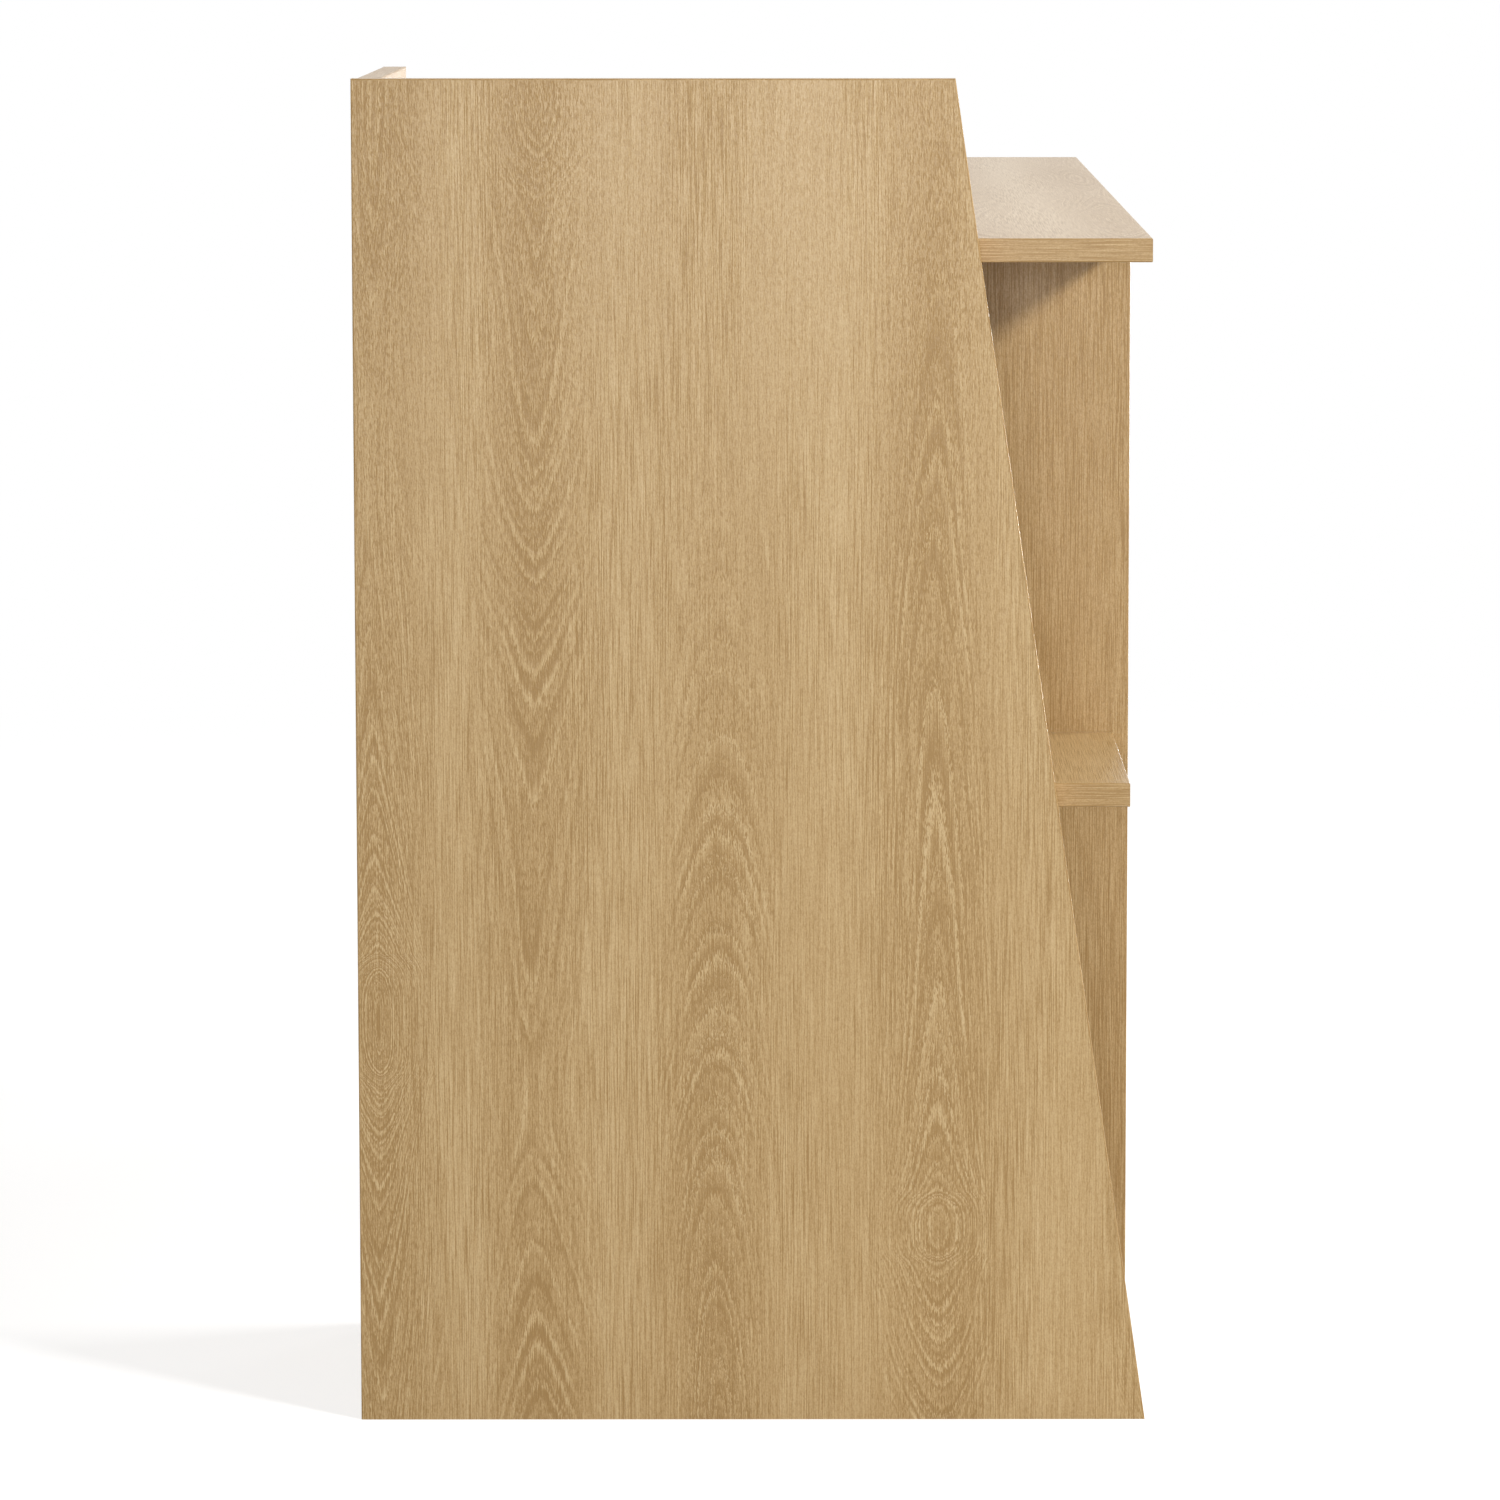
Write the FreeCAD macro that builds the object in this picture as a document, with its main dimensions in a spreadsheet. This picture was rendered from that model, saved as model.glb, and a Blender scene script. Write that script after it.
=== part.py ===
"""Study desk in oak-effect board with a book tower under one end.

A leaning side panel, a back panel and a partition make the tower. The worktop butts against the side panel,
runs over the partition and rests on an end panel at its other end. Cam locks, cam bolts and dowels hold the
boards. X runs along the desk from the tower end, Y from front to back and Z up. The origin is on the floor,
in the middle of the desk.
"""

import FreeCAD
import Part
import Sketcher
import math
import os
import re

doc = FreeCAD.newDocument("study_desk")

# Driving dimensions in millimetres
SIZES = {
    "desk_width": 1200,
    "desk_depth": 500,
    "worktop_height": 750,
    "upstand_height": 100,
    "side_top_depth": 376,
    "board": 15,
    "band": 1,
    "band_round": 0.8,
    "top_overhang": 2,
    "tower_clear_width": 247,
    "back_recess": 3,
    "notch_clear": 0.5,
    "shelf_setback": 12.5,
    "mid_shelf_height": 406,
    "bottom_shelf_height": 62,
    "plinth_setback": 30,
    "modesty_height": 300,
    "modesty_gap": 40,
    "fitting_margin": 50,
    "dowel_pitch": 32,
    "fit_clear": 0.15,
    "hole_end_clear": 0.5,
    "dowel_radius": 4,
    "dowel_length": 30,
    "dowel_in_face": 11,
    "dowel_chamfer": 1,
    "plinth_dowel_inset": 12,
    "cam_reach": 34,
    "cam_radius": 7.4,
    "cam_sink": 0.3,
    "cam_floor": 2.7,
    "cam_chamber_radius": 5,
    "cam_bolt_clear": 0.4,
    "driver_slot_length": 7,
    "driver_slot_width": 1.6,
    "driver_slot_depth": 2.2,
    "bolt_thread_radius": 2.4,
    "bolt_thread_length": 10.5,
    "bolt_shaft_radius": 3,
    "bolt_neck_radius": 2,
    "bolt_neck_length": 5,
    "bolt_head_radius": 3.4,
    "bolt_head_length": 4.6,
    "cap_radius": 9,
    "cap_height": 1,
    "cap_dome_run": 2,
}

# Small round fittings and their holes repeat often, so they are drawn with a few flat sides
FITTING_SIDES = 8
CAM_SIDES = 12

sheet = doc.addObject("Spreadsheet::Sheet", "Sizes")
for row, (size_name, size) in enumerate(SIZES.items(), start=1):
    sheet.set(f"A{row}", size_name)
    sheet.set(f"B{row}", str(size))
    sheet.setAlias(f"B{row}", size_name)
doc.recompute()

# Places that follow from the driving dimensions
PLACES = {
    "left": "-desk_width / 2",
    "right": "desk_width / 2",
    "front": "-desk_depth / 2",
    "rear": "desk_depth / 2",
    "side_height": "worktop_height + upstand_height",
    "side_inner": "left + board",
    "partition_near": "side_inner + tower_clear_width",
    "partition_middle": "partition_near + board / 2",
    "partition_far": "partition_near + board",
    "end_inner": "right - top_overhang - board",
    "end_middle": "end_inner + board / 2",
    "upright_front": "front + top_overhang",
    "back_rear": "rear - back_recess",
    "back_middle": "back_rear - board / 2",
    "back_front": "back_rear - board",
    "shelf_front": "front + shelf_setback",
    "plinth_rear": "shelf_front + plinth_setback + board",
    "plinth_middle": "plinth_rear - board / 2",
    "modesty_rear": "rear - modesty_gap",
    "modesty_middle": "modesty_rear - board / 2",
    "modesty_front": "modesty_rear - board",
    "modesty_bottom": "top_under - modesty_height",
    "top_under": "worktop_height - board",
    "top_middle": "worktop_height - board / 2",
    "mid_shelf_under": "mid_shelf_height - board",
    "mid_shelf_middle": "mid_shelf_height - board / 2",
    "bottom_shelf_under": "bottom_shelf_height - board",
    "bottom_shelf_middle": "bottom_shelf_height - board / 2",
    "lean": "(desk_depth - top_overhang - side_top_depth) / side_height",
    "band_across": "band * sqrt(1 + lean ^ 2)",
    "cam_length": "board - cam_sink - cam_floor",
    "cam_mouth_half": "bolt_head_radius + cam_bolt_clear",
    "cam_neck_half": "bolt_neck_radius + cam_bolt_clear",
}


def formula(words):
    """Spells a size or a place out in cells of the sheet."""

    def spell(match):
        name = match[0]
        if name in PLACES:
            return f"({formula(PLACES[name])})"
        return f"Sizes.{name}" if name in SIZES else name

    return re.sub(r"[a-z][a-z_]*", spell, words)


def bind(thing, prop, words):
    thing.setExpression(prop, formula(words))


def sketch_at(body, name, plane, offset):
    """A sketch parallel to one of the body's origin planes, where that plane's own axis reads offset."""
    sketch = body.newObject("Sketcher::SketchObject", name)
    origin_plane = next(f for f in body.Origin.OriginFeatures if f.Role == plane)
    sketch.AttachmentSupport = [(origin_plane, "")]
    sketch.MapMode = "FlatFace"
    # The XZ plane faces -Y
    bind(sketch, "AttachmentOffset.Base.z", f"-({offset})" if plane == "XZ_Plane" else offset)
    return sketch


def draw_outline(sketch, corners):
    """A closed outline through the corners, each of them given as (across, up)."""
    count = len(corners)
    turns = [2 * math.pi * index / count for index in range(count + 1)]
    points = [FreeCAD.Vector(math.cos(turn), math.sin(turn), 0) for turn in turns]
    lines = [sketch.addGeometry(Part.LineSegment(*ends), False) for ends in zip(points, points[1:])]
    for index, corner in enumerate(corners):
        sketch.addConstraint(Sketcher.Constraint("Coincident", lines[index - 1], 2, lines[index], 1))
        for kind, words in zip(("DistanceX", "DistanceY"), corner):
            number = sketch.addConstraint(Sketcher.Constraint(kind, -1, 1, lines[index], 1, 1.0))
            bind(sketch, f"Constraints[{number}]", words)


def draw_rounds(sketch, centres, radius, sides):
    """Round outlines with flat sides. A corner lies on each axis, so that a piece lines up with its hole."""
    turns = [2 * math.pi * side / sides for side in range(sides)]
    for across, up in centres:
        corners = []
        for turn in turns:
            corner_across = f"{across} + ({radius}) * ({math.cos(turn):.5f})"
            corner_up = f"{up} + ({radius}) * ({math.sin(turn):.5f})"
            corners.append((corner_across, corner_up))
        draw_outline(sketch, corners)


def new_body(label):
    return doc.addObject("PartDesign::Body", label)


def pad(body, sketch, length):
    feature = body.newObject("PartDesign::Pad", f"{sketch.Name}_pad")
    feature.Profile = sketch
    bind(feature, "Length", length)
    doc.recompute()
    return feature


def sink(body, sketch, depth):
    """Cuts the sketch into the body, to the same depth on both sides of its plane."""
    before = body.Shape.Volume
    feature = body.newObject("PartDesign::Pocket", f"{sketch.Name}_cut")
    feature.Profile = sketch
    feature.SideType = "Symmetric"
    bind(feature, "Length", f"2 * ({depth})")
    doc.recompute()
    if body.Shape.Volume >= before:
        raise RuntimeError(f"{sketch.Name} cuts nothing")


def drill(body, name, plane, offset, centres, radius, depth, sides=FITTING_SIDES):
    """Holes of one size, sunk from a plane on the outside of the body."""
    sketch = sketch_at(body, f"{body.Name}_{name}", plane, offset)
    draw_rounds(sketch, centres, radius, sides)
    sink(body, sketch, depth)


def rod(label, steps):
    """A slim turned piece about Z. Each of its steps is (radius, low, high)."""
    body = new_body(label)
    for number, (radius, low, high) in enumerate(steps, start=1):
        sketch = sketch_at(body, f"{label}_step_{number}", "XY_Plane", low)
        draw_rounds(sketch, [("0", "0")], radius, FITTING_SIDES)
        pad(body, sketch, f"{high} - ({low})")
    return body


def board(label, plane, offset, corners):
    """A board cut to an outline, as thick as every board of the desk."""
    body = new_body(label)
    sketch = sketch_at(body, f"{label}_outline", plane, offset)
    draw_outline(sketch, corners)
    pad(body, sketch, "board")
    return body


def strip(label, plane, offset, corners):
    """An edging strip as wide as the board is thick. Its first side shows, and has rounded arrises."""
    body = new_body(label)
    sketch = sketch_at(body, f"{label}_outline", plane, offset)
    draw_outline(sketch, corners)
    blank = pad(body, sketch, "board")
    to_sketch = sketch.Placement.inverse()
    outer = sketch.Geometry[0]
    arrises = []
    for number, edge in enumerate(blank.Shape.Edges, start=1):
        ends = [to_sketch.multVec(vertex.Point) for vertex in edge.Vertexes]
        ends = [FreeCAD.Vector(end.x, end.y, 0) for end in ends]
        for first, second in (ends, ends[::-1]):
            if first.isEqual(outer.StartPoint, 0.001) and second.isEqual(outer.EndPoint, 0.001):
                arrises.append(f"Edge{number}")
    rounding = body.newObject("PartDesign::Fillet", f"{label}_arris")
    rounding.Base = (blank, arrises)
    bind(rounding, "Radius", "band_round")
    doc.recompute()
    return body


nodes = {}


def group(label, members):
    """One node of separate solids."""
    node = doc.addObject("Part::Compound", label)
    node.Links = members
    nodes[label] = node


# Uprights with a leaning front edge: the side panel of the tower, edged on its top too, and the end panel
def lean_at(height):
    return f"upright_front + lean * ({height})"


def leaning_upright(label, offset, height, top_band):
    core_height = f"{height} - ({top_band})"
    core = [
        ("rear - band", "0"),
        (f"{lean_at('0')} + band_across", "0"),
        (f"{lean_at(core_height)} + band_across", core_height),
        ("rear - band", core_height),
    ]
    front_strip = [
        (lean_at("0"), "0"),
        (lean_at(height), height),
        (f"{lean_at(height)} + band_across", height),
        (f"{lean_at('0')} + band_across", "0"),
    ]
    rear_strip = [("rear", height), ("rear", "0"), ("rear - band", "0"), ("rear - band", height)]
    nodes[label] = board(label, "YZ_Plane", offset, core)
    return [
        strip(f"{label}_front_strip", "YZ_Plane", offset, front_strip),
        strip(f"{label}_rear_strip", "YZ_Plane", offset, rear_strip),
    ]


side_strips = leaning_upright("side_panel", "left", "side_height", "band")
side_core_top = "side_height - band"
side_top_strip = [
    (f"{lean_at('side_height')} + band_across", "side_height"),
    ("rear - band", "side_height"),
    ("rear - band", side_core_top),
    (f"{lean_at(side_core_top)} + band_across", side_core_top),
]
side_strips.append(strip("side_panel_top_strip", "YZ_Plane", "left", side_top_strip))
group("side_panel_edging", side_strips)
group("end_panel_edging", leaning_upright("end_panel", "end_inner", "top_under", "0"))


def rectangle(low_across, low_up, high_across, high_up):
    """Corners of a rectangle, from its low left one round to its low right one."""
    return [
        (low_across, low_up),
        (low_across, high_up),
        (high_across, high_up),
        (high_across, low_up),
    ]


# Partition between the tower and the knee space, edged front and rear
partition_outline = rectangle("upright_front + band", "0", "rear - band", "top_under")
nodes["partition_panel"] = board("partition_panel", "YZ_Plane", "partition_near", partition_outline)
partition_front_strip = rectangle("upright_front", "0", "upright_front + band", "top_under")
partition_rear_strip = rectangle("rear", "0", "rear - band", "top_under")
group("partition_edging", [
    strip("partition_front_strip", "YZ_Plane", "partition_near", partition_front_strip),
    strip("partition_rear_strip", "YZ_Plane", "partition_near", partition_rear_strip),
])

# Back panel of the tower: stands between side panel and partition and rises through a notch in the worktop
back_outline = rectangle("side_inner", "0", "partition_near - band", "side_height - band")
nodes["back_panel"] = board("back_panel", "XZ_Plane", "back_rear", back_outline)
back_end_strip = strip(
    "back_panel_end_strip",
    "XZ_Plane",
    "back_rear",
    rectangle("partition_near", "0", "partition_near - band", "side_height"),
)
back_top_strip = strip(
    "back_panel_top_strip",
    "XZ_Plane",
    "back_rear",
    [
        ("side_inner", "side_height"),
        ("partition_near - band", "side_height"),
        ("partition_near - band", "side_height - band"),
        ("side_inner", "side_height - band"),
    ],
)
group("back_panel_edging", [back_end_strip, back_top_strip])

# Worktop, notched round the back panel and edged on all four sides
notch_across = "partition_near + notch_clear"
notch_up = "back_front - notch_clear"
desktop_outline = [
    ("side_inner + band", "front + band"),
    ("right - band", "front + band"),
    ("right - band", "rear - band"),
    (notch_across, "rear - band"),
    (notch_across, notch_up),
    ("side_inner + band", notch_up),
]
nodes["desktop"] = board("desktop", "XY_Plane", "top_under", desktop_outline)
desktop_front_strip = [
    ("side_inner", "front"),
    ("right", "front"),
    ("right", "front + band"),
    ("side_inner", "front + band"),
]
desktop_rear_strip = [
    (notch_across, "rear"),
    ("right", "rear"),
    ("right", "rear - band"),
    (notch_across, "rear - band"),
]
desktop_right_strip = rectangle("right", "front + band", "right - band", "rear - band")
desktop_left_strip = strip(
    "desktop_left_strip",
    "XY_Plane",
    "top_under",
    rectangle("side_inner", "front + band", "side_inner + band", notch_up),
)
group("desktop_edging", [
    strip("desktop_front_strip", "XY_Plane", "top_under", desktop_front_strip),
    strip("desktop_rear_strip", "XY_Plane", "top_under", desktop_rear_strip),
    strip("desktop_right_strip", "XY_Plane", "top_under", desktop_right_strip),
    desktop_left_strip,
])


# Shelves of the tower: the middle one shows its end past the leaning side panel, so that end is edged too
def shelf_front_strip(label, under):
    corners = [
        ("side_inner", "shelf_front"),
        ("partition_near", "shelf_front"),
        ("partition_near", "shelf_front + band"),
        ("side_inner", "shelf_front + band"),
    ]
    return strip(label, "XY_Plane", under, corners)


mid_outline = rectangle("side_inner + band", "shelf_front + band", "partition_near", "back_front")
nodes["mid_shelf"] = board("mid_shelf", "XY_Plane", "mid_shelf_under", mid_outline)
mid_left_strip = strip(
    "mid_shelf_left_strip",
    "XY_Plane",
    "mid_shelf_under",
    rectangle("side_inner", "shelf_front + band", "side_inner + band", "back_front"),
)
group("mid_shelf_edging", [shelf_front_strip("mid_shelf_front_strip", "mid_shelf_under"), mid_left_strip])

bottom_outline = rectangle("side_inner", "shelf_front + band", "partition_near", "back_front")
nodes["bottom_shelf"] = board("bottom_shelf", "XY_Plane", "bottom_shelf_under", bottom_outline)
group("bottom_shelf_edging", [shelf_front_strip("bottom_shelf_front_strip", "bottom_shelf_under")])

# Plinth under the bottom shelf, and the modesty panel across the back of the knee space
plinth_outline = rectangle("side_inner", "0", "partition_near", "bottom_shelf_under")
nodes["plinth"] = board("plinth", "XZ_Plane", "plinth_rear", plinth_outline)

modesty_outline = rectangle("partition_far", "modesty_bottom + band", "end_inner", "top_under")
nodes["modesty_panel"] = board("modesty_panel", "XZ_Plane", "modesty_rear", modesty_outline)
modesty_strip = [
    ("partition_far", "modesty_bottom"),
    ("end_inner", "modesty_bottom"),
    ("end_inner", "modesty_bottom + band"),
    ("partition_far", "modesty_bottom + band"),
]
group("modesty_panel_edging", [strip("modesty_bottom_strip", "XZ_Plane", "modesty_rear", modesty_strip)])

# Cam lock: a die-cast drum, with a screwdriver slot in its top and a chamber with a narrow neck, which grips
# the head of the bolt. The board's face is at height 0, and the bolt comes along X, mid-way in the board.
cam = new_body("cam_lock")
drum = sketch_at(cam, "cam_drum", "XY_Plane", "-cam_sink - cam_length")
draw_rounds(drum, [("0", "0")], "cam_radius", CAM_SIDES)
pad(cam, drum, "cam_length")
chamber = sketch_at(cam, "cam_chamber", "XY_Plane", "-board / 2")
draw_rounds(chamber, [("0", "0")], "cam_chamber_radius", FITTING_SIDES)
sink(cam, chamber, "cam_mouth_half")
mouth = sketch_at(cam, "cam_mouth", "XY_Plane", "-board / 2")
draw_outline(mouth, [
    ("-2 * cam_radius", "-cam_mouth_half"),
    ("0", "-cam_mouth_half"),
    ("0", "-cam_neck_half"),
    ("2 * cam_radius", "-cam_neck_half"),
    ("2 * cam_radius", "cam_neck_half"),
    ("0", "cam_neck_half"),
    ("0", "cam_mouth_half"),
    ("-2 * cam_radius", "cam_mouth_half"),
])
sink(cam, mouth, "cam_mouth_half")
slot_arm = "driver_slot_length / 2"
slot_side = "driver_slot_width / 2"
slot = sketch_at(cam, "cam_slot", "XY_Plane", "-cam_sink")
draw_outline(slot, rectangle(f"-{slot_arm}", f"-{slot_side}", slot_arm, slot_side))
sink(cam, slot, "driver_slot_depth")

# Cam bolt: thread below the face at height 0, shaft, neck and head, whose back bears on the cam's claw
head_start = "cam_reach - sqrt(cam_chamber_radius ^ 2 - bolt_head_radius ^ 2) + fit_clear"
head_end = f"{head_start} + bolt_head_length"
neck_start = f"{head_start} - bolt_neck_length"
bolt = rod("cam_bolt", [
    ("bolt_thread_radius", "-bolt_thread_length", "0"),
    ("bolt_shaft_radius", "0", neck_start),
    ("bolt_neck_radius", neck_start, head_start),
    ("bolt_head_radius", head_start, head_end),
])

# Beech dowel with chamfered ends: height 0 is the face that it crosses
dowel = rod("dowel", [("dowel_radius", "-dowel_in_face", "dowel_length - dowel_in_face")])
dowel_blank = dowel.Tip
dowel_ends = [
    f"Face{number}"
    for number, face in enumerate(dowel_blank.Shape.Faces, start=1)
    if face.CenterOfMass.distanceToLine(FreeCAD.Vector(), FreeCAD.Vector(0, 0, 1)) < 0.001
]
dowel_tips = dowel.newObject("PartDesign::Chamfer", "dowel_tips")
dowel_tips.Base = (dowel_blank, dowel_ends)
bind(dowel_tips, "Size", "dowel_chamfer")
doc.recompute()

# Cover cap: a low dome on the board's face, with a blade that presses into the cam's slot
cap = new_body("cover_cap")
cap_profile = sketch_at(cap, "cap_profile", "XZ_Plane", "0")
draw_outline(cap_profile, [
    ("0", "0"),
    ("cap_radius", "0"),
    ("cap_radius - cap_dome_run", "cap_height"),
    ("0", "cap_height"),
])
cap_dome = cap.newObject("PartDesign::Revolution", "cap_dome")
cap_dome.Profile = cap_profile
cap_dome.ReferenceAxis = (cap_profile, ["V_Axis"])
cap_dome.Angle = 360
doc.recompute()
blade = sketch_at(cap, "cap_blade", "XY_Plane", "fit_clear - cam_sink - driver_slot_depth")
blade_arm = f"{slot_arm} - fit_clear"
blade_side = f"{slot_side} - fit_clear"
draw_outline(blade, rectangle(f"-({blade_arm})", f"-({blade_side})", blade_arm, blade_side))
pad(cap, blade, "cam_sink + driver_slot_depth - fit_clear")

AXIS_OF = {"YZ_Plane": 0, "XZ_Plane": 1, "XY_Plane": 2}
UNIT = [FreeCAD.Vector(1, 0, 0), FreeCAD.Vector(0, 1, 0), FreeCAD.Vector(0, 0, 1)]
fitted = {}


def fit(piece, node, where, up, across):
    """Another of the piece at where, with its height along up and its X along across."""
    members = fitted.setdefault(node, [])
    link = doc.addObject("App::Link", f"{node}_{len(members) + 1}")
    link.LinkedObject = piece
    link.LinkTransform = False
    turn = FreeCAD.Rotation(across, up.cross(across), up, "ZXY")
    link.Placement = FreeCAD.Placement(FreeCAD.Vector(), turn)
    for letter, words in zip("xyz", where):
        bind(link, f"Placement.Base.{letter}", words)
    members.append(link)


def in_space(plane, offset, spot):
    """X, Y and Z of a spot on a plane."""
    where = list(spot)
    where.insert(AXIS_OF[plane], offset)
    return where


def on_plane(plane, where):
    """Across and up of a point on a plane."""
    return [words for axis, words in enumerate(where) if axis != AXIS_OF[plane]]


def dowel_joint(end, ends, face, plane, contact, toward, spots, name):
    """Dowels from the face of one board into the end of another, toward +1 or -1 along the plane's axis."""
    axis = UNIT[AXIS_OF[plane]]
    hole = "dowel_radius + fit_clear"
    drill(nodes[face], f"{name}_dowel_holes", plane, contact, spots, hole, "dowel_in_face + hole_end_clear")
    for body in ends:
        depth = "dowel_length - dowel_in_face + hole_end_clear"
        drill(body, f"{name}_dowel_holes", plane, contact, spots, hole, depth)
    for spot in spots:
        entry = in_space(plane, contact, spot)
        fit(dowel, f"{end}_dowels", entry, axis * toward, UNIT[AXIS_OF[plane] - 1])


def cam_joint(end, ends, face, plane, contact, toward, spots, name, cam_plane, cam_face, cam_out):
    """Cam bolts in the face of one board, gripped by cams in the board whose end meets it."""
    axis = UNIT[AXIS_OF[plane]]
    pilot = "bolt_thread_radius + fit_clear"
    drill(nodes[face], f"{name}_pilots", plane, contact, spots, pilot, "bolt_thread_length + hole_end_clear")
    for body in ends:
        drill(body, f"{name}_bolt_holes", plane, contact, spots, "bolt_head_radius + fit_clear", "cam_reach")
    cam_places = []
    for spot in spots:
        entry = in_space(plane, contact, spot)
        fit(bolt, f"{end}_cam_bolts", entry, axis * toward, UNIT[AXIS_OF[plane] - 1])
        where = in_space(plane, f"{contact} + {toward} * cam_reach", spot)
        where[AXIS_OF[cam_plane]] = cam_face
        cam_places.append(where)
        fit(cam, f"{end}_cam_locks", where, UNIT[AXIS_OF[cam_plane]] * cam_out, axis * -toward)
    cam_spots = [on_plane(cam_plane, where) for where in cam_places]
    bore = "cam_radius + fit_clear"
    depth = "cam_sink + cam_length + fit_clear"
    drill(nodes[end], f"{name}_cam_bores", cam_plane, cam_face, cam_spots, bore, depth, CAM_SIDES)
    return cam_places


def joint(end, face, plane, contact, toward, low, high, place, cam_plane, cam_face, cam_out, strips=()):
    """A cam a margin in from each end of the joint's line, low to high, and a dowel a pitch further in."""
    ends = [nodes[end], *strips]
    cams = [place("(" + low + ") + fitting_margin"), place("(" + high + ") - fitting_margin")]
    dowels = [
        place("(" + low + ") + fitting_margin + dowel_pitch"),
        place("(" + high + ") - fitting_margin - dowel_pitch"),
    ]
    name = f"{end}_to_{face}"
    dowel_joint(end, ends, face, plane, contact, toward, dowels, name)
    return cam_joint(end, ends, face, plane, contact, toward, cams, name, cam_plane, cam_face, cam_out)


def line_along_depth(up):
    return lambda depth: (depth, up)


def line_up(across):
    return lambda height: (across, height)


# Worktop and shelves: ends against the side panel and the partition, cams from below
side_face = ("side_panel", "YZ_Plane", "side_inner", 1)
tower_face = ("partition_panel", "YZ_Plane", "partition_near", -1)
level_boards = [
    ("desktop", "top_middle", "top_under", lean_at("top_middle"), [side_face], [desktop_left_strip]),
    ("mid_shelf", "mid_shelf_middle", "mid_shelf_under", lean_at("mid_shelf_height"),
     [side_face, tower_face], [mid_left_strip]),
    ("bottom_shelf", "bottom_shelf_middle", "bottom_shelf_under", "plinth_rear",
     [side_face, tower_face], []),
]
for end, middle, under, low, faces, left_strips in level_boards:
    for face, plane, contact, toward in faces:
        strips = left_strips if toward > 0 else []
        joint(end, face, plane, contact, toward, low, "back_front", line_along_depth(middle),
              "XY_Plane", under, -1, strips)

# Back panel: edges against the side panel, over its whole height, and the partition, below the worktop
joint("back_panel", *side_face, "0", "side_height", line_up("back_middle"), "XZ_Plane", "back_rear", 1)
joint("back_panel", *tower_face, "0", "top_under", line_up("back_middle"), "XZ_Plane", "back_rear", 1,
      [back_end_strip])

# Partition and end panel: top edges under the worktop, with the cams on the knee side under cover caps
uprights = [
    ("partition_panel", "partition_middle", "upright_front", "partition_far", 1),
    ("end_panel", "end_middle", lean_at("top_under"), "end_inner", -1),
]
for end, middle, low, cam_face, cam_out in uprights:
    cam_places = joint(end, "desktop", "XY_Plane", "top_under", -1, low, "modesty_front", line_up(middle),
                       "YZ_Plane", cam_face, cam_out)
    for where in cam_places:
        fit(cap, f"{end}_cover_caps", where, UNIT[0] * cam_out, UNIT[2])

# Modesty panel: ends against the partition and the end panel, cams from the back
knee_faces = [
    ("partition_panel", "YZ_Plane", "partition_far", 1),
    ("end_panel", "YZ_Plane", "end_inner", -1),
]
for knee_face in knee_faces:
    joint("modesty_panel", *knee_face, "modesty_bottom", "top_under", line_up("modesty_middle"),
          "XZ_Plane", "modesty_rear", 1)

# Plinth: dowels only
plinth_spots = [
    ("plinth_middle", "plinth_dowel_inset"),
    ("plinth_middle", "bottom_shelf_under - plinth_dowel_inset"),
]
for face, plane, contact, toward in (side_face, tower_face):
    dowel_joint("plinth", [nodes["plinth"]], face, plane, contact, toward, plinth_spots, f"plinth_to_{face}")

for node, members in fitted.items():
    group(node, members)

doc.recompute()
for thing in doc.Objects:
    if "Invalid" in thing.State or "Error" in thing.State:
        raise RuntimeError(f"{thing.Label} failed: {thing.State}")
for label, node in nodes.items():
    if node.Shape.isNull() or not node.Shape.isValid():
        raise RuntimeError(f"{label} has no valid shape")

os.makedirs("parts", exist_ok=True)
for label, node in nodes.items():
    node.Shape.exportStep(os.path.join("parts", f"{label}.step"))
    print(label, len(node.Shape.Solids), "solids", round(node.Shape.Volume / 1000, 1), "cm3")
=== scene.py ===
import math

import bmesh
import bpy
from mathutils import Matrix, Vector

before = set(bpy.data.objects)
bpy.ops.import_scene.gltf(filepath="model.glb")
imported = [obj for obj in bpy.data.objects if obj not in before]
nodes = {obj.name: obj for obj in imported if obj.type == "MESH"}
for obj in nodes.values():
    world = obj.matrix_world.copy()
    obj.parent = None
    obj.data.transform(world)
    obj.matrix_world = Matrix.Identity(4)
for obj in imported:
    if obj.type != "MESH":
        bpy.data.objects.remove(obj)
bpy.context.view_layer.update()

# Side panel: the tall leaning upright of the book tower, 15 mm chipboard cut from a melamine-faced sheet.
# Printed oak paper is pressed on both faces under heat. Cam bolts and dowels in its inner face hold the other
# boards to it, and it stands on its sawn lower edge.
X, Y, Z = range(3)
ACROSS, ALONG, THROUGH = range(3)
MILLIMETRES = 1000
SHEET_LENGTH = 1300
DEEPEST = 110

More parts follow.
